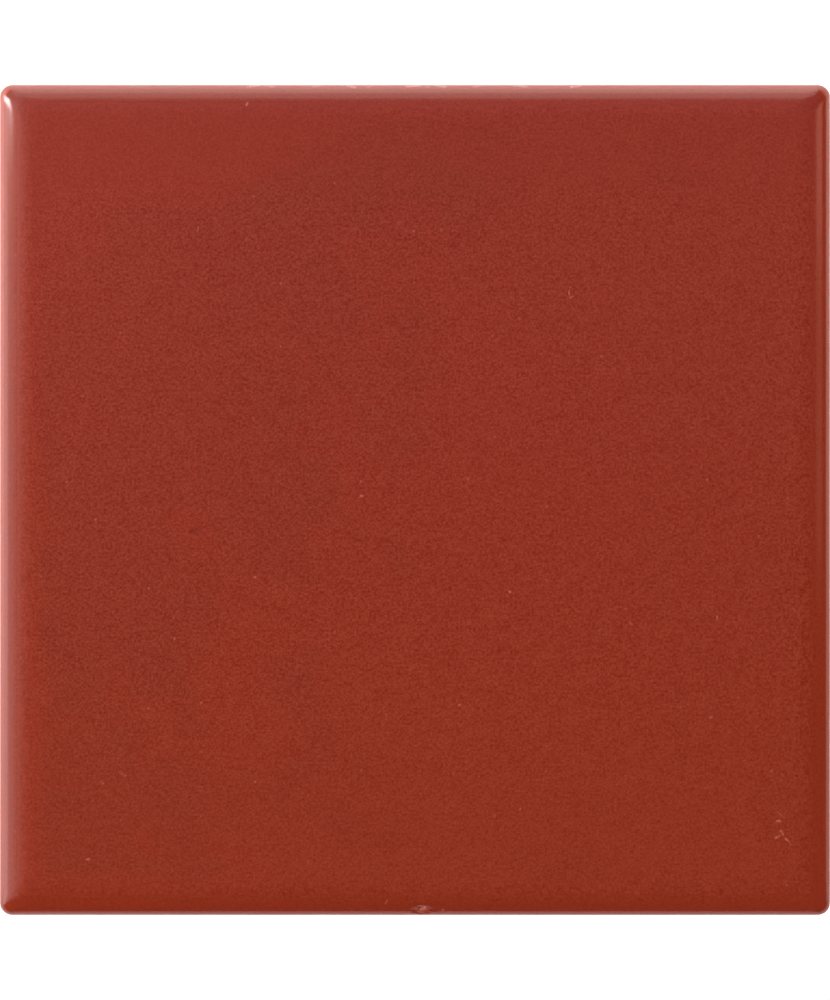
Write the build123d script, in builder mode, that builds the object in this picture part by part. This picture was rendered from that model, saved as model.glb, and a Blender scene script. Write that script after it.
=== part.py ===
"""A square glazed wall tile, dry-pressed and fired as one piece, lying on its back with its face up.

The face rolls off towards all four edges, as a cushion-edged tile does. Below the roll the edge has an
upright land, which faces the grout joint, and then leans in towards the back. The back is keyed for the
adhesive: a lattice of ribs stands round rows of shallow square pockets, inside a plain rim.

Units are millimetres. +Z points out of the face, and the origin is the middle of the bed, the plane that
the rim and the ribs share.
"""

import os
from math import cos, pi, sin

from build123d import *

# Outline
side = 100.0
thickness = 7.0
corner_radius = 1.5

# Cushion: the face rolls off along a quarter of an ellipse, from flat to upright
cushion_width = 4.2
cushion_drop = 2.1
cushion_steps = 10

# Edge below the upright land
lean_height = 2.6
lean_inset = 0.5
fettled_edge = 0.25

# Keyed back
rim_width = 5.0
rib_width = 3.0
pockets_per_side = 6
pocket_depth = 0.7
pocket_draft = 30.0
pocket_corner_radius = 1.5

# What follows from those
land_top = thickness - cushion_drop
back_side = side - 2 * lean_inset
bed_side = back_side - 2 * fettled_edge
keyed_side = bed_side - 2 * rim_width
pocket_pitch = (keyed_side + rib_width) / pockets_per_side
pocket_side = pocket_pitch - rib_width

with BuildPart() as tile:
    # Upright land that faces the grout joint
    with BuildSketch(Plane.XY.offset(lean_height)):
        RectangleRounded(side, side, corner_radius)
    extrude(amount=land_top - lean_height)

    # Cushioned face: outlines drawn in along the ellipse, each higher than the last
    for step in range(cushion_steps + 1):
        angle = step / cushion_steps * pi / 2
        outline_side = side - 2 * cushion_width * (1 - cos(angle))
        with BuildSketch(Plane.XY.offset(land_top + cushion_drop * sin(angle))):
            RectangleRounded(outline_side, outline_side, corner_radius)
    loft()

    # Lower edge, leaning in to the smaller back, where its last corner is fettled off
    lower_edge = (
        (0, bed_side),
        (fettled_edge, back_side),
        (lean_height, side),
    )
    for height, outline_side in lower_edge:
        with BuildSketch(Plane.XY.offset(height)):
            RectangleRounded(outline_side, outline_side, corner_radius)
    loft(ruled=True)

    # Pockets pressed into the back, with walls that let the punch leave
    with BuildSketch(Plane.XY):
        with GridLocations(pocket_pitch, pocket_pitch, pockets_per_side, pockets_per_side):
            RectangleRounded(pocket_side, pocket_side, pocket_corner_radius)
    extrude(amount=pocket_depth, taper=pocket_draft, mode=Mode.SUBTRACT)

tile.part.label = "tile"

os.makedirs("parts", exist_ok=True)
export_step(tile.part, "parts/tile.step")
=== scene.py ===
"""The looks of a square wall tile: one fired piece, with a satin iron-red glaze over a pink biscuit body.

The tile lies on its back with its face up, and the camera looks straight down on it. Lengths are in metres.
"""

from math import copysign, cos, pi, radians, sin, tan

import bmesh
import bpy
from mathutils import Matrix, Vector, noise


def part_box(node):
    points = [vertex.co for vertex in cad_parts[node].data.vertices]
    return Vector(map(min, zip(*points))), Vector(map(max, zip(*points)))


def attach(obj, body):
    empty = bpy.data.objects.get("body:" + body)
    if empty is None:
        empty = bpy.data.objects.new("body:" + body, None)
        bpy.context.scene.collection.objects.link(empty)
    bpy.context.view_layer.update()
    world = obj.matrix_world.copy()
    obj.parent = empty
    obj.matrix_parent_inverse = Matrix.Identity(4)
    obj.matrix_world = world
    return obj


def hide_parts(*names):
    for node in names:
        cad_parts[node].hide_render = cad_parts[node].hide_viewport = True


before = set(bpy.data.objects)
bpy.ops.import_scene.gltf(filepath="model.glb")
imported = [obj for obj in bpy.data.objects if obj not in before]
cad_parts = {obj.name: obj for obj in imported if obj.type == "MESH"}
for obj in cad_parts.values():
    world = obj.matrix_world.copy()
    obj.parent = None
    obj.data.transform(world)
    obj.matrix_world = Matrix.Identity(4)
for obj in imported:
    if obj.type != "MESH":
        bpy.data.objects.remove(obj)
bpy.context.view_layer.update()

# Sizes of the solid
mm = 0.001
tile_low, tile_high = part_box("tile")
half_side = (tile_high.x - tile_low.x) / 2
face_height = tile_high.z
corner_radius = 1.5 * mm
cushion_width = 4.2 * mm
cushion_drop = 2.1 * mm
lean_inset = 0.5 * mm
fettled_edge = 0.25 * mm
rim_width = 5.0 * mm
rib_width = 3.0 * mm
pockets_per_side = 6
pocket_depth = 0.7 * mm
pocket_draft = radians(30)
pocket_corner_radius = 1.5 * mm
pocket_lip = 0.2 * mm

# Sizes of the glaze coat, which runs down the edge and stops above the bed
glaze_stop = 3.3 * mm
glaze_stop_wave = 0.35 * mm
glaze_stop_wavelength = 7.0 * mm
glaze_coat = 0.14 * mm
glaze_ripple = 0.012 * mm
glaze_ripple_wavelength = 9.0 * mm

# What follows from those
land_top = face_height - cushion_drop
flat_half = half_side - cushion_width
bed_half = half_side - lean_inset - fettled_edge
bare_body_top = glaze_stop - 2 * glaze_stop_wave
bare_body_inset = 1.1 * glaze_coat
pocket_pitch = (2 * (bed_half - rim_width) + rib_width) / pockets_per_side
pocket_half = (pocket_pitch - rib_width) / 2

# Fineness of the mesh. A ring on the land has its share of the height above the glaze's stop line, and of
# that line's wave
face_cells = 160
corner_cells = 6
roll_rings = 18
land_rings = ((0.75, 0.2), (0.4, 0.6))
glaze_lip_rings = 3
bare_body_wave = 0.3
fettle_rings = 4
pocket_corner_segments = 5
sharp_angle = radians(40)

# Chip in the front edge. Its lumps are how ragged it is, and how finely. The mesh is finer up to its verge
chip_place = Vector((0.8, -49.33, 6.0)) * mm
chip_reach = Vector((1.25, 0.62, 0.9)) * mm
chip_depth = 0.18 * mm
chip_push = Vector((0.0, 0.55, -0.83))
chip_lumps = ((0.35, 0.5 * mm), (0.15, 0.2 * mm))
chip_verge = 1.3
chip_cuts = 3

# Pale marks on the face, in mm from its middle: start, end, width, and how far the red has gone
face_marks = (
    ((18.65, 25.57), (18.53, 25.24), 0.17, 0.30),
    ((18.53, 25.24), (18.53, 24.46), 0.17, 0.45),
    ((18.53, 24.46), (18.70, 24.31), 0.19, 0.60),
    ((18.70, 24.31), (18.95, 24.51), 0.19, 0.55),
    ((11.32, -11.08), (11.47, -11.08), 0.26, 0.85),
    ((-6.20, 0.50), (-6.55, 0.46), 0.25, 0.60),
    ((-6.55, 0.46), (-6.93, 0.12), 0.20, 0.35),
    ((-39.55, -43.20), (-39.16, -43.20), 0.26, 0.50),
    ((-37.78, -33.86), (-37.48, -34.10), 0.24, 0.45),
    ((36.33, -13.98), (36.37, -14.40), 0.26, 0.45),
    ((43.30, -40.65), (43.80, -40.40), 0.28, 0.42),
    ((44.00, -39.75), (44.25, -40.25), 0.30, 0.36),
    ((44.60, -40.70), (44.85, -40.95), 0.28, 0.52),
    ((44.95, -41.05), (45.20, -41.40), 0.26, 0.16),
    ((43.56, -38.62), (43.86, -38.58), 0.28, 0.42),
    ((43.00, -36.90), (44.50, -38.30), 0.16, 0.15),
    ((35.49, -26.17), (35.73, -26.09), 0.24, 0.38),
    ((-26.12, 32.41), (-26.05, 32.78), 0.20, 0.42),
    ((-40.15, 12.53), (-39.83, 12.53), 0.22, 0.42),
    ((25.90, -14.90), (26.10, -14.95), 0.26, 0.30),
    ((-35.37, -32.80), (-34.80, -33.20), 0.24, 0.25),
    ((-20.33, 31.20), (-20.28, 31.50), 0.20, 0.36),
    ((5.24, -24.64), (5.42, -24.70), 0.24, 0.36),
    ((42.70, -32.60), (42.95, -32.60), 0.24, 0.32),
    ((-20.24, 47.50), (-20.12, 47.78), 0.26, 0.55),
    ((-3.60, -48.60), (-3.30, -48.20), 0.20, 0.30),
    ((3.35, -49.35), (3.45, -49.35), 0.24, 0.45),
    ((0.75, -49.35), (1.20, -49.05), 0.36, 0.85),
)
burnt_mark = ((-26.80, -3.75), (-26.30, -3.65), 0.75, 0.35)

# Pale spots along the back edge: start and height above the land, end and height, width, all in
# mm, and how pale each is
pale_edge_spots = (
    ((-20.0, 0.65), (-18.9, 0.45), 0.50, 0.48),
    ((-18.0, 0.50), (-17.0, 0.70), 0.40, 0.30),
    ((-12.2, 0.60), (-11.6, 0.50), 0.40, 0.26),
    ((-8.1, 0.45), (-7.3, 0.75), 0.50, 0.45),
    ((-5.8, 0.70), (-5.2, 0.60), 0.35, 0.26),
    ((-0.9, 0.60), (0.6, 0.45), 0.45, 0.45),
    ((1.4, 0.75), (1.7, 0.65), 0.40, 0.30),
    ((2.6, 0.45), (3.6, 0.70), 0.50, 0.48),
    ((7.1, 0.65), (7.8, 0.55), 0.40, 0.30),
    ((12.0, 0.50), (13.4, 0.65), 0.45, 0.45),
    ((18.8, 0.70), (19.9, 0.50), 0.50, 0.48),
)

# Values that nearly all of a noise texture lies between
noise_low = 0.3
noise_high = 0.7

# A stroke's full core and faded side, as shares of its width, and how far and how finely its sides are ragged
stroke_core = 0.1
stroke_side = 0.75
ragged_shift = 0.3 * mm
ragged_size = 0.3 * mm

# How the ragged noise breaks up the marks, down to their least, and the bared body, up to its most
broken_low = 0.36
broken_high = 0.6
broken_least = 0.25
bare_low = 0.36
bare_high = 0.66
bare_most = 0.5

# Crystals in the glaze: size of their clumps and clouds, shares of the coarse ones, and contrast of the grain
fine_clump = 0.26 * mm
coarse_clump = 0.42 * mm
crystal_cloud = 1.8 * mm
coarse_share = 0.45
cloud_share = 0.10
grain_range = 0.2
grain_height = 0.006 * mm

# Where their bloom fades: the axis, where it is full, where it has faded, and what is left there
bloom_fades = (
    ("Y", 34 * mm, 41 * mm, 0.66),
    ("Y", -18 * mm, -42 * mm, 0.75),
    ("X", 22 * mm, 44 * mm, 0.95),
)
bloom_on_roll = 0.3

# Faint flecks: how far apart, their core and side as shares of that, how few are seen, and the palest one
fleck_spacing = 3.2 * mm
fleck_core = 0.02
fleck_side = 0.07
fleck_chosen = 0.86
fleck_strength = 0.34

# Thin glaze: the size of its runs, how thin they are, where on the edge it starts and is thinnest, as shares
# of the cushion's drop, and how much lower that lies at the front, which paints shade on the front edge
thin_run = 1.6 * mm
thin_least = 0.45
thin_most = 0.85
thin_start = 0.55
thin_full = 0.35
front_shade_drop = 0.2
front_shade_from = -46 * mm
front_shade_to = -49 * mm

# Where the face starts to roll and has fully started, as shares of the cushion's drop
roll_start = 0.01
roll_full = 0.25

# Roughness of the glaze
face_roughness = 0.36
roll_roughness = 0.17
thin_roughness = 0.75
chip_roughness = 0.6


def extrude_ring(bm, edges):
    """Draws a new ring out of a loop of edges, still lying on it. Returns its verts, edges and new band."""
    made = bmesh.ops.extrude_edge_only(bm, edges=edges)["geom"]
    verts = [part for part in made if isinstance(part, bmesh.types.BMVert)]
    ring = [part for part in made if isinstance(part, bmesh.types.BMEdge) and part.is_boundary]
    band = [part for part in made if isinstance(part, bmesh.types.BMFace)]
    return verts, ring, band


def split_reach(share):
    """How far a cell line lies along the straight part of a side, and how far out through the corner zone."""
    corner_share = 2 * corner_cells / face_cells
    straight = min(abs(share) / (1 - corner_share), 1) * (flat_half - corner_radius)
    outward = max(abs(share) - (1 - corner_share), 0) / corner_share
    return straight, outward


def lay_flat(bm):
    """The flat of the face: a sheet of square cells whose corners are drawn in to round ones."""
    bmesh.ops.create_grid(bm, x_segments=face_cells, y_segments=face_cells, size=1)
    for vert in bm.verts:
        x, x_out = split_reach(vert.co.x)
        y, y_out = split_reach(vert.co.y)
        outward = max(x_out, y_out)
        if outward > 0:
            turn = pi / 4 * min(x_out, y_out) / outward
            far, near = corner_radius * outward * cos(turn), corner_radius * outward * sin(turn)
            x += far if x_out >= y_out else near
            y += near if x_out >= y_out else far
        vert.co = (copysign(x, vert.co.x), copysign(y, vert.co.y), face_height)
    return [edge for edge in bm.edges if edge.is_boundary]


def edge_levels():
    """The edge from the flat of the face down to the bed: inset, height, share of the wave, and if glazed."""
    levels = []
    for step in range(1, roll_rings + 1):
        angle = pi / 2 * (1 - step / roll_rings)
        inset = cushion_width * (1 - cos(angle))
        levels.append((inset, land_top + cushion_drop * sin(angle), 0, True))
    for share, wave_share in land_rings:
        levels.append((0, glaze_stop + share * (land_top - glaze_stop), wave_share, True))
    for step in range(glaze_lip_rings + 1):
        angle = pi / 2 * step / glaze_lip_rings
        inset = glaze_coat * (1 - cos(angle))
        levels.append((inset, glaze_stop + glaze_coat * (1 - sin(angle)), 1, True))
    levels.append((bare_body_inset, bare_body_top, bare_body_wave, False))
    for step in range(fettle_rings + 1):
        angle = pi / 2 * step / fettle_rings
        inset = lean_inset + fettled_edge * (1 - cos(angle))
        levels.append((inset, fettled_edge * (1 - sin(angle)), 0, False))
    return levels


def draw_edge(bm, ring):
    """Draws the face's outline out and down through the levels of the edge."""
    inset_before = cushion_width
    for inset, height, wave_share, glazed in edge_levels():
        verts, ring, band = extrude_ring(bm, ring)
        straight = half_side - inset_before - corner_radius
        grow = inset_before - inset
        for vert in verts:
            for axis in (0, 1):
                reach = abs(vert.co[axis])
                wider = reach + grow if reach > straight else reach * (straight + grow) / straight
                vert.co[axis] = copysign(wider, vert.co[axis])
            wave = noise.noise(vert.co / glaze_stop_wavelength)
            vert.co.z = height + glaze_stop_wave * wave_share * wave
        for face in band:
            face.material_index = 0 if glazed else 1
        inset_before = inset
    return ring


def press_pocket(bm, x, y):
    """One pocket of the keyed back, from its rounded mouth up to its floor. Returns its mouth's edges."""
    centre = Vector((x, y, 0))
    mouth_half = pocket_half + pocket_lip / 2
    made = bmesh.ops.create_grid(
        bm, x_segments=1, y_segments=1, size=mouth_half, matrix=Matrix.Translation(centre)
    )
    corners = bmesh.ops.bevel(
        bm,
        geom=made["verts"],
        offset=pocket_corner_radius,
        affect="VERTICES",
        segments=pocket_corner_segments,
        profile=0.5,
        material=-1,
    )
    mouth = list({edge for vert in corners["verts"] for edge in vert.link_edges})
    bmesh.ops.delete(bm, geom=[corners["verts"][0].link_faces[0]], context="FACES_ONLY")

    # Insets and heights of its rings: the rounded lip, the leaning wall and the rounded foot
    wall_foot = pocket_depth - pocket_lip / 2
    wall_lean = (wall_foot - pocket_lip / 2) * tan(pocket_draft)
    levels = (
        (0.6 * pocket_lip, 0.15 * pocket_lip),
        (pocket_lip, 0.5 * pocket_lip),
        (pocket_lip + wall_lean, wall_foot),
        (1.4 * pocket_lip + wall_lean, wall_foot + 0.35 * pocket_lip),
        (2 * pocket_lip + wall_lean, pocket_depth),
    )
    ring = mouth
    half_before, height_before = mouth_half, 0
    for inset, height in levels:
        verts, ring, band = extrude_ring(bm, ring)
        shrink = (mouth_half - inset) / half_before
        bmesh.ops.scale(bm, vec=(shrink, shrink, 1), space=Matrix.Translation(-centre), verts=verts)
        bmesh.ops.translate(bm, vec=(0, 0, height - height_before), verts=verts)
        for part in band:
            part.material_index = 1
        half_before, height_before = mouth_half - inset, height
    floor = bmesh.ops.edgeloop_fill(bm, edges=ring)["faces"]
    floor[0].material_index = 1
    return mouth


def key_back(bm, ring):
    """The bed: a rim and a lattice of ribs, in one plane, round the rows of pockets."""
    loops = list(ring)
    first = -pocket_pitch * (pockets_per_side - 1) / 2
    for row in range(pockets_per_side):
        for column in range(pockets_per_side):
            loops += press_pocket(bm, first + column * pocket_pitch, first + row * pocket_pitch)
    filled = bmesh.ops.triangle_fill(bm, edges=loops, use_beauty=True, normal=(0, 0, -1))["geom"]
    for part in filled:
        if isinstance(part, bmesh.types.BMFace):
            part.material_index = 1


def ripple_glaze(bm):
    """Lets the face sink a little, unevenly, as a glaze does while it melts and flows."""
    for vert in bm.verts:
        if vert.co.z > glaze_stop + glaze_coat:
            swell = 0.5 + 0.5 * noise.noise(vert.co / glaze_ripple_wavelength)
            vert.co -= vert.normal * glaze_ripple * swell


def chip_distance(vert):
    """How far a vertex lies from the middle of the chip, where 1 is the chip's reach."""
    offset = vert.co - chip_place
    return Vector((offset.x / chip_reach.x, offset.y / chip_reach.y, offset.z / chip_reach.z)).length


def verts_near_chip(bm):
    """The vertices in the chip and on its verge."""
    in_line = [vert for vert in bm.verts if abs(vert.co.x - chip_place.x) < chip_verge * chip_reach.x]
    return {vert for vert in in_line if chip_distance(vert) < chip_verge}


def break_edge(bm, bared):
    """Breaks a flake out of the glazed edge, with a ragged floor, and marks where the body is bared."""
    near = verts_near_chip(bm)
    edges = list({edge for vert in near for edge in vert.link_edges if edge.other_vert(vert) in near})
    bmesh.ops.subdivide_edges(bm, edges=edges, cuts=chip_cuts, use_grid_fill=True)
    for vert in verts_near_chip(bm):
        ragged = sum(share * noise.noise(vert.co / size) for share, size in chip_lumps)
        bite = 1 - (chip_distance(vert) + ragged) ** 2
        if bite > 0:
            vert.co += chip_push * chip_depth * bite ** 0.5
            vert[bared] = max(vert[bared], min(2 * bite, 1))


def make_tile(glaze, biscuit):
    """The whole fired piece as one closed mesh."""
    bm = bmesh.new()
    ring = lay_flat(bm)
    ring = draw_edge(bm, ring)
    key_back(bm, ring)
    bmesh.ops.recalc_face_normals(bm, faces=bm.faces)
    bm.normal_update()
    ripple_glaze(bm)
    break_edge(bm, bm.verts.layers.float.new("bared"))
    mesh = bpy.data.meshes.new("glazed_tile")
    bm.to_mesh(mesh)
    bm.free()
    mesh.materials.append(glaze)
    mesh.materials.append(biscuit)
    mesh.shade_smooth()
    mesh.set_sharp_from_angle(angle=sharp_angle)
    piece = bpy.data.objects.new("glazed_tile", mesh)
    bpy.context.scene.collection.objects.link(piece)
    return piece


def linear(colour):
    """An sRGB hex colour as linear red, green, blue and alpha."""
    shares = [int(colour[place:place + 2], 16) / 255 for place in (1, 3, 5)]
    return [c / 12.92 if c <= 0.04045 else ((c + 0.055) / 1.055) ** 2.4 for c in shares] + [1]


def node(tree, kind, inputs=None, **settings):
    """Adds a node with its settings, and sets each input to a value or links it to another node's output."""
    new = tree.nodes.new("ShaderNode" + kind)
    for name, value in settings.items():
        setattr(new, name, value)
    for name, value in (inputs or {}).items():
        if isinstance(value, bpy.types.NodeSocket):
            tree.links.new(value, new.inputs[name])
        else:
            new.inputs[name].default_value = value
    return new


def new_material(name):
    """An empty material with its shader and its output."""
    material = bpy.data.materials.new(name)
    material.use_nodes = True
    tree = material.node_tree
    tree.nodes.clear()
    shader = node(tree, "BsdfPrincipled")
    node(tree, "OutputMaterial", {"Surface": shader.outputs["BSDF"]})
    return material, tree, shader


def stroke_mask(tree, place, start, end, width, strength):
    """A stroke between two places: its strength along the middle, falling to 0 at its sides."""
    run = end - start
    offset = node(tree, "VectorMath", {0: place, 1: start}, operation="SUBTRACT").outputs["Vector"]
    along = node(tree, "VectorMath", {0: offset, 1: run}, operation="DOT_PRODUCT").outputs["Value"]
    share = node(tree, "Math", {0: along, 1: run.length_squared}, operation="DIVIDE", use_clamp=True)
    nearest = node(tree, "VectorMath", {0: run, "Scale": share.outputs[0]}, operation="SCALE")
    apart = node(tree, "VectorMath", {0: offset, 1: nearest.outputs["Vector"]}, operation="DISTANCE")
    return node(
        tree,
        "MapRange",
        {
            "Value": apart.outputs["Value"],
            "From Min": stroke_core * width,
            "From Max": stroke_side * width,
            "To Min": strength,
            "To Max": 0,
        },
        interpolation_type="SMOOTHSTEP",
    ).outputs["Result"]


def face_stroke(tree, place, mark):
    """The mask of a mark on the face, which is listed in mm from its middle."""
    (x, y), (end_x, end_y), width, strength = mark
    start = Vector((x, y, 0)) * mm
    end = Vector((end_x, end_y, 0)) * mm
    return stroke_mask(tree, place, start, end, width * mm, strength)


def back_edge_stroke(tree, place, mark):
    """The mask of a mark on the roll of the back edge, which is listed in mm along it and above the land."""
    (x, height), (end_x, end_height), width, strength = mark
    ends = []
    for along, above in ((x * mm, height * mm), (end_x * mm, end_height * mm)):
        inset = cushion_width * (1 - (1 - (above / cushion_drop) ** 2) ** 0.5)
        ends.append(Vector((along, half_side - inset, land_top + above)))
    return stroke_mask(tree, place, ends[0], ends[1], width * mm, strength)


def strongest(tree, masks):
    """The largest of several masks."""
    largest = masks[0]
    for mask in masks[1:]:
        largest = node(tree, "Math", {0: largest, 1: mask}, operation="MAXIMUM").outputs[0]
    return largest


def roll_mask(tree, across):
    """Where the face has started to roll off."""
    return node(
        tree,
        "MapRange",
        {
            "Value": across.outputs["Z"],
            "From Min": face_height - roll_start * cushion_drop,
            "From Max": face_height - roll_full * cushion_drop,
            "To Min": 0,
            "To Max": 1,
        },
        interpolation_type="SMOOTHSTEP",
    ).outputs["Result"]


def crystal_bloom(tree, across, roll):
    """How much there is of the crystals' bloom: less at the back, front and right, and least on the roll."""
    bloom = 1.0
    for axis, full, faded, left in bloom_fades:
        fade = node(
            tree,
            "MapRange",
            {
                "Value": across.outputs[axis],
                "From Min": full,
                "From Max": faded,
                "To Min": 1,
                "To Max": left,
            },
            interpolation_type="SMOOTHSTEP",
        ).outputs["Result"]
        bloom = node(tree, "Math", {0: bloom, 1: fade}, operation="MULTIPLY").outputs[0]
    return node(tree, "Mix", {0: roll, 2: bloom, 3: bloom_on_roll}, data_type="FLOAT").outputs[0]


def crystal_grain(tree, coordinates):
    """Grain of the crystals, alone and with their clouds. The real ones are finer than a pixel of the
    picture, so they are drawn coarser, as clumps."""
    layers = []
    for size, detail in ((fine_clump, 0.0), (coarse_clump, 1.0), (crystal_cloud, 1.0)):
        layer = node(tree, "TexNoise", {"Vector": coordinates, "Scale": 1 / size, "Detail": detail})
        layers.append(layer.outputs["Fac"])
    fine, coarse, clouds = layers
    grain = node(tree, "Mix", {0: coarse_share, 2: fine, 3: coarse}, data_type="FLOAT").outputs[0]
    clouded = node(tree, "Mix", {0: cloud_share, 2: grain, 3: clouds}, data_type="FLOAT").outputs[0]
    return grain, clouded


def crystal_colour(tree, clouded, bloom):
    """Red glass that is paler where the crystals crowd, with more contrast where their bloom is fuller."""
    middle = node(tree, "Math", {0: clouded, 1: 0.5}, operation="SUBTRACT").outputs[0]
    contrast = node(tree, "Math", {0: middle, 1: bloom}, operation="MULTIPLY").outputs[0]
    crowded = node(
        tree,
        "MapRange",
        {"Value": contrast, "From Min": -grain_range, "From Max": grain_range, "To Min": 0, "To Max": 1},
    ).outputs["Result"]
    return node(
        tree, "Mix", {0: crowded, 6: linear("#7E1D04"), 7: linear("#993C27")}, data_type="RGBA"
    ).outputs[2]


def thin_glaze(tree, coordinates, across):
    """Where the glaze is thin: on the steep part of the edge, in soft runs, and lower down at the front,
    which paints shade on the front edge.
    """
    runs = node(
        tree, "TexNoise", {"Vector": coordinates, "Scale": 1 / thin_run, "Detail": 2.0}
    ).outputs["Fac"]
    thinness = node(
        tree,
        "MapRange",
        {
            "Value": runs,
            "From Min": noise_low,
            "From Max": noise_high,
            "To Min": thin_least,
            "To Max": thin_most,
        },
    ).outputs["Result"]
    # Painted shade: at the front the pale thin glaze starts lower, so the front edge stays darker red
    front = node(
        tree,
        "MapRange",
        {
            "Value": across.outputs["Y"],
            "From Min": front_shade_from,
            "From Max": front_shade_to,
            "To Min": 0,
            "To Max": front_shade_drop * cushion_drop,
        },
    ).outputs["Result"]
    height = node(tree, "Math", {0: across.outputs["Z"], 1: front}, operation="ADD").outputs[0]
    return node(
        tree,
        "MapRange",
        {
            "Value": height,
            "From Min": land_top + thin_start * cushion_drop,
            "From Max": land_top + thin_full * cushion_drop,
            "To Min": 0,
            "To Max": thinness,
        },
        interpolation_type="SMOOTHSTEP",
    ).outputs["Result"]


def faint_flecks(tree, on_face, bloom):
    """Faint flecks all over the face, of which only a few are seen, each as pale as chance makes it."""
    cells = node(
        tree,
        "TexVoronoi",
        {"Vector": on_face, "Scale": 1 / fleck_spacing},
        feature="F1",
        voronoi_dimensions="2D",
    )
    chance = node(tree, "SeparateColor", {"Color": cells.outputs["Color"]}).outputs["Red"]
    strength = node(
        tree,
        "MapRange",
        {"Value": chance, "From Min": fleck_chosen, "From Max": 1.0, "To Min": 0, "To Max": fleck_strength},
    ).outputs["Result"]
    strength = node(tree, "Math", {0: strength, 1: bloom}, operation="MULTIPLY").outputs[0]
    return node(
        tree,
        "MapRange",
        {
            "Value": cells.outputs["Distance"],
            "From Min": fleck_core,
            "From Max": fleck_side,
            "To Min": strength,
            "To Max": 0,
        },
        interpolation_type="SMOOTHSTEP",
    ).outputs["Result"]


def worn_places(tree, coordinates, ragged, bloom):
    """Masks of the pale marks, the burnt speck and the pale spots of the back edge, all with ragged sides."""
    shift = node(tree, "VectorMath", {0: ragged.outputs["Color"], 1: (0.5, 0.5, 0.5)}, operation="SUBTRACT")
    shift = node(tree, "VectorMath", {0: shift.outputs["Vector"], "Scale": ragged_shift}, operation="SCALE")
    shifted = node(tree, "VectorMath", {0: coordinates, 1: shift.outputs["Vector"]}, operation="ADD")
    shifted = shifted.outputs["Vector"]
    on_face = node(tree, "VectorMath", {0: shifted, 1: (1, 1, 0)}, operation="MULTIPLY").outputs["Vector"]
    broken = node(
        tree,
        "MapRange",
        {
            "Value": ragged.outputs["Fac"],
            "From Min": broken_low,
            "From Max": broken_high,
            "To Min": broken_least,
            "To Max": 1,
        },
    ).outputs["Result"]
    flecks = faint_flecks(tree, on_face, bloom)
    marks = strongest(tree, [flecks] + [face_stroke(tree, on_face, mark) for mark in face_marks])
    marks = node(tree, "Math", {0: marks, 1: broken}, operation="MULTIPLY").outputs[0]
    burnt = face_stroke(tree, on_face, burnt_mark)
    spots = strongest(tree, [back_edge_stroke(tree, shifted, spot) for spot in pale_edge_spots])
    spots = node(tree, "Math", {0: spots, 1: broken}, operation="MULTIPLY").outputs[0]
    return marks, burnt, spots


def bared_body(tree, ragged):
    """Where the body shows in the chip: in patches, through what is left of the glaze."""
    bared = node(tree, "Attribute", attribute_name="bared").outputs["Fac"]
    patches = node(tree, "Math", {0: bared, 1: ragged.outputs["Fac"]}, operation="MULTIPLY").outputs[0]
    patches = node(
        tree,
        "MapRange",
        {"Value": patches, "From Min": bare_low, "From Max": bare_high, "To Min": 0, "To Max": bare_most},
    ).outputs["Result"]
    return node(tree, "Math", {0: patches, 1: bared}, operation="MULTIPLY").outputs[0]


def satin_glaze():
    """Satin iron-red glaze: glass clouded by fine crystals, so it has a soft sheen, a faint pale bloom and a
    grain like fine sandpaper, and it goes paler where it is thin, scratched or chipped."""
    material, tree, shader = new_material("satin_iron_red_glaze")
    coordinates = node(tree, "TexCoord").outputs["Object"]
    across = node(tree, "SeparateXYZ", {"Vector": coordinates})
    ragged = node(tree, "TexNoise", {"Vector": coordinates, "Scale": 1 / ragged_size, "Detail": 2.0})

    roll = roll_mask(tree, across)
    bloom = crystal_bloom(tree, across, roll)
    grain, clouded = crystal_grain(tree, coordinates)
    thin = thin_glaze(tree, coordinates, across)
    marks, burnt, spots = worn_places(tree, coordinates, ragged, bloom)
    bare = bared_body(tree, ragged)

    colour = crystal_colour(tree, clouded, bloom)
    layers = (
        # The thin glaze is paler on the edge, and held lower at the front as painted shade
        (thin, "#A75242"),
        (marks, "#D98474"),
        (burnt, "#4A170C"),
        (spots, "#EDA99E"),
        (bare, "#BC6655"),
    )
    for mask, layer_colour in layers:
        colour = node(
            tree, "Mix", {0: mask, 6: colour, 7: linear(layer_colour)}, data_type="RGBA"
        ).outputs[2]

    rough = node(
        tree,
        "MapRange",
        {"Value": roll, "From Min": 0, "From Max": 1, "To Min": face_roughness, "To Max": roll_roughness},
    ).outputs["Result"]
    rough = node(tree, "Mix", {0: thin, 2: rough, 3: thin_roughness}, data_type="FLOAT").outputs[0]
    rough = node(tree, "Mix", {0: bare, 2: rough, 3: chip_roughness}, data_type="FLOAT").outputs[0]
    bump = node(
        tree, "Bump", {"Height": grain, "Strength": 1.0, "Distance": grain_height}
    ).outputs["Normal"]

    tree.links.new(colour, shader.inputs["Base Color"])
    tree.links.new(rough, shader.inputs["Roughness"])
    tree.links.new(bump, shader.inputs["Normal"])
    shader.inputs["IOR"].default_value = 1.5
    return material


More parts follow.
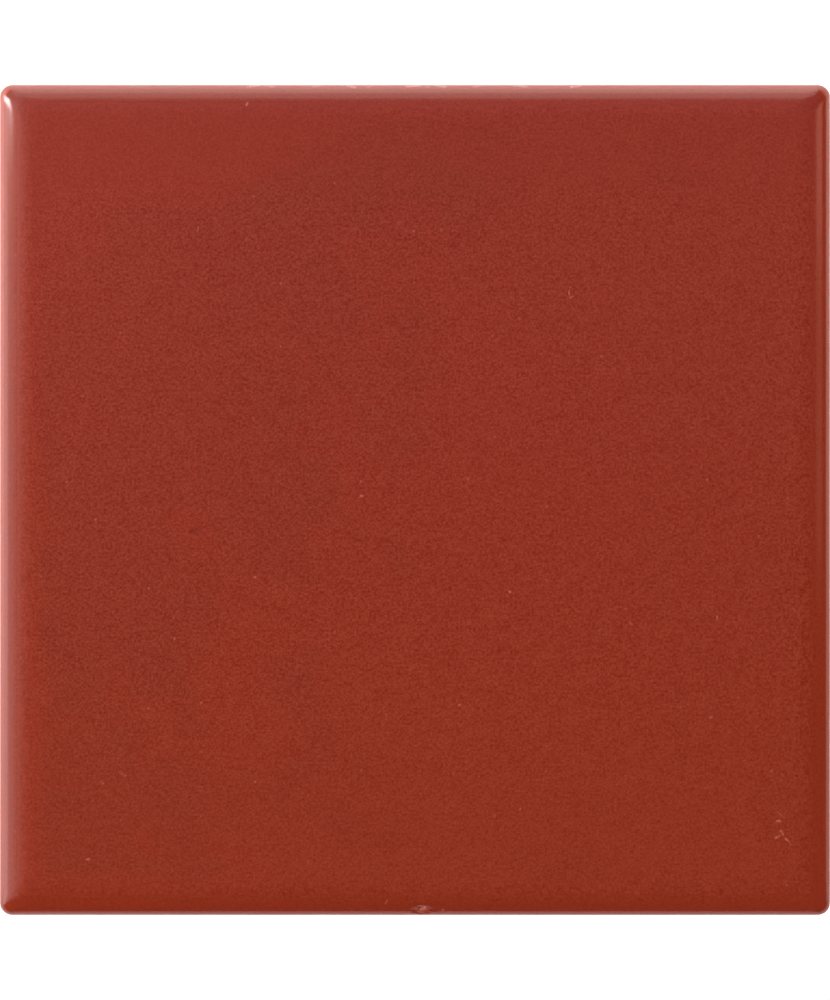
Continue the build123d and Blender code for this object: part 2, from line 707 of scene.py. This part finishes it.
def pink_biscuit():
    """Pink biscuit: dry-pressed clay, porous and matt, sandy to the eye, with dark grog and pale patches."""
    sand_size = 0.35 * mm
    sand_height = 0.05 * mm
    patch_size = 11.0 * mm
    grog_spacing = 1.1 * mm
    material, tree, shader = new_material("pink_biscuit_body")
    coordinates = node(tree, "TexCoord").outputs["Object"]

    sand = node(
        tree, "TexNoise", {"Vector": coordinates, "Scale": 1 / sand_size, "Detail": 4.0, "Roughness": 0.65}
    ).outputs["Fac"]
    sanded = node(
        tree,
        "MapRange",
        {"Value": sand, "From Min": noise_low, "From Max": noise_high, "To Min": 0, "To Max": 1},
    ).outputs["Result"]
    patches = node(
        tree, "TexNoise", {"Vector": coordinates, "Scale": 1 / patch_size, "Detail": 3.0}
    ).outputs["Fac"]
    patched = node(
        tree, "MapRange", {"Value": patches, "From Min": 0.35, "From Max": 0.7, "To Min": 0, "To Max": 0.35}
    ).outputs["Result"]
    grog = node(
        tree, "TexVoronoi", {"Vector": coordinates, "Scale": 1 / grog_spacing}, feature="F1"
    ).outputs["Distance"]
    grains = node(
        tree, "MapRange", {"Value": grog, "From Min": 0.08, "From Max": 0.14, "To Min": 0.5, "To Max": 0}
    ).outputs["Result"]

    colour = linear("#BE836B")
    for mask, layer_colour in ((sanded, "#D3A08A"), (patched, "#DDB9A6"), (grains, "#7A4635")):
        colour = node(
            tree, "Mix", {0: mask, 6: colour, 7: linear(layer_colour)}, data_type="RGBA"
        ).outputs[2]
    bump = node(
        tree, "Bump", {"Height": sand, "Strength": 1.0, "Distance": sand_height}
    ).outputs["Normal"]
    tree.links.new(colour, shader.inputs["Base Color"])
    tree.links.new(bump, shader.inputs["Normal"])
    shader.inputs["Roughness"].default_value = 0.9
    shader.inputs["IOR"].default_value = 1.5
    return material


def glowing_floor():
    """Floor that glows white, like a light table, and farther out more on the side of the main light."""
    near_glow = 0.9
    dim_glow = 0.6
    bright_glow = 2.4
    main_light = (-0.45, 0.9, 0)
    near_reach = half_side + 3 * mm
    far_reach = half_side + 9 * mm
    material, tree, shader = new_material("white_floor")
    shader.inputs["Base Color"].default_value = linear("#B4B4B4")
    shader.inputs["Roughness"].default_value = 0.9
    shader.inputs["Emission Color"].default_value = linear("#FFFFFF")
    coordinates = node(tree, "TexCoord").outputs["Object"]
    towards_light = node(tree, "VectorMath", {0: coordinates, 1: main_light}, operation="DOT_PRODUCT")
    far_glow = node(
        tree,
        "MapRange",
        {
            "Value": towards_light.outputs["Value"],
            "From Min": -half_side,
            "From Max": half_side,
            "To Min": dim_glow,
            "To Max": bright_glow,
        },
    ).outputs["Result"]
    outward = node(tree, "VectorMath", {0: coordinates}, operation="ABSOLUTE").outputs["Vector"]
    outward = node(tree, "SeparateXYZ", {"Vector": outward})
    reach = node(
        tree, "Math", {0: outward.outputs["X"], 1: outward.outputs["Y"]}, operation="MAXIMUM"
    ).outputs[0]
    glow = node(
        tree,
        "MapRange",
        {
            "Value": reach,
            "From Min": near_reach,
            "From Max": far_reach,
            "To Min": near_glow,
            "To Max": far_glow,
        },
        interpolation_type="SMOOTHSTEP",
    ).outputs["Result"]
    tree.links.new(glow, shader.inputs["Emission Strength"])
    return material


def make_floor():
    """A plain floor, wide enough for any view."""
    floor_half = 2.0
    bm = bmesh.new()
    bmesh.ops.create_grid(bm, x_segments=1, y_segments=1, size=floor_half)
    mesh = bpy.data.meshes.new("floor")
    bm.to_mesh(mesh)
    bm.free()
    mesh.materials.append(glowing_floor())
    floor = bpy.data.objects.new("floor", mesh)
    bpy.context.scene.collection.objects.link(floor)


def add_softbox(
    name, aim, azimuth, elevation, distance, width, height, radiance,
    colours=True, shines=True, tint="#FFFFFF",
):
    """A flat soft light that faces a point, and lights a surface's colour, shines in its sheen, or both."""
    light = bpy.data.lights.new(name, "AREA")
    light.shape = "RECTANGLE"
    light.size = width
    light.size_y = height
    light.energy = radiance * pi * width * height
    light.color = linear(tint)[:3]
    lamp = bpy.data.objects.new(name, light)
    turn, rise = radians(azimuth), radians(elevation)
    towards = Vector((cos(turn) * cos(rise), sin(turn) * cos(rise), sin(rise)))
    lamp.location = Vector(aim) + distance * towards
    lamp.rotation_euler = (-towards).to_track_quat("-Z", "Y").to_euler()
    lamp.visible_camera = False
    lamp.visible_diffuse = colours
    lamp.visible_glossy = shines
    light.cycles.use_multiple_importance_sampling = shines
    bpy.context.scene.collection.objects.link(lamp)


def light_studio():
    """Soft light, mostly from the left and from behind. Some lamps only light the colours, and others only
    shine in the glaze: as bands along the left and back rolls, and as glints at the right and in a corner."""
    middle = (0, 0, face_height)
    left_edge = (-half_side, 0, face_height)
    left_corner = (-half_side + 0.9 * mm, half_side + 2.0 * mm, face_height - 0.6 * mm)
    right_roll = (half_side - 1.2 * mm, 55 * mm, face_height - 0.4 * mm)
    right_middle = (half_side - 1.2 * mm, 14 * mm, face_height - 0.4 * mm)

    # Each has its aim, azimuth and elevation in degrees, distance, width, height and radiance
    add_softbox("overhead", middle, 170, 80, 1.8, 1.2, 1.2, 3.40, shines=False)
    add_softbox("left_fill", middle, 180, 16, 4.0, 3.2, 2.00, 5.6, shines=False)
    add_softbox("left_near", left_edge, 180, 60, 0.05, 0.20, 0.030, 0.40, shines=False)
    add_softbox("back_fill", middle, 90, 37, 4.0, 3.2, 2.13, 2.85, shines=False)
    add_softbox("right_fill", middle, 0, 24, 1.5, 1.2, 0.80, 3.1, shines=False)
    add_softbox("front_fill", middle, 270, 13, 1.5, 1.2, 0.55, 2.5, shines=False)
    add_softbox("left_low", middle, 180, 13, 1.5, 1.4, 0.70, 3.5, colours=False)
    add_softbox("left_mid", middle, 180, 36, 1.5, 1.3, 0.52, 1.7, colours=False)
    add_softbox("left_high", middle, 180, 56, 1.5, 1.2, 0.54, 1.0, colours=False)
    add_softbox("back_low", middle, 90, 13, 1.5, 1.4, 0.70, 3.2, colours=False)
    add_softbox("back_mid", middle, 90, 36, 1.5, 1.3, 0.52, 1.75, colours=False)
    add_softbox("back_panel", middle, 90, 63, 0.335, 0.60, 0.27, 0.33, colours=False, tint="#617CFF")
    add_softbox("right_strip", right_roll, 0, 37, 0.12, 0.040, 0.046, 2.2, colours=False, tint="#FFC4B4")
    add_softbox("right_glow", right_middle, 0, 37, 0.12, 0.044, 0.046, 0.85, colours=False, tint="#FFC4B4")
    add_softbox("corner_glow", middle, 135, 33, 1.5, 1.0, 1.50, 1.1, colours=False)
    add_softbox("corner_lamp", left_corner, 165, 26, 0.12, 0.044, 0.075, 23.0, colours=False)

    world = bpy.data.worlds.new("studio")
    world.use_nodes = True
    sky = world.node_tree.nodes["Background"]
    sky.inputs["Color"].default_value = (1, 1, 1, 1)
    sky.inputs["Strength"].default_value = 0.02
    bpy.context.scene.world = world


def place_camera():
    """Straight down on the face, with the tile as wide as the picture."""
    picture_width, picture_height = 830, 1000
    camera_height = 1.0
    data = bpy.data.cameras.new("camera")
    data.sensor_width = 36.0
    outline_height = land_top
    span = 2 * half_side * picture_height / picture_width
    data.lens = data.sensor_width * (camera_height - outline_height) / span
    camera = bpy.data.objects.new("camera", data)
    camera.location = (0, 0, camera_height)
    bpy.context.scene.collection.objects.link(camera)
    bpy.context.scene.camera = camera


tile = make_tile(satin_glaze(), pink_biscuit())
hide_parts("tile")
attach(tile, "root")
make_floor()
light_studio()
place_camera()
bpy.context.scene.view_settings.view_transform = "Standard"
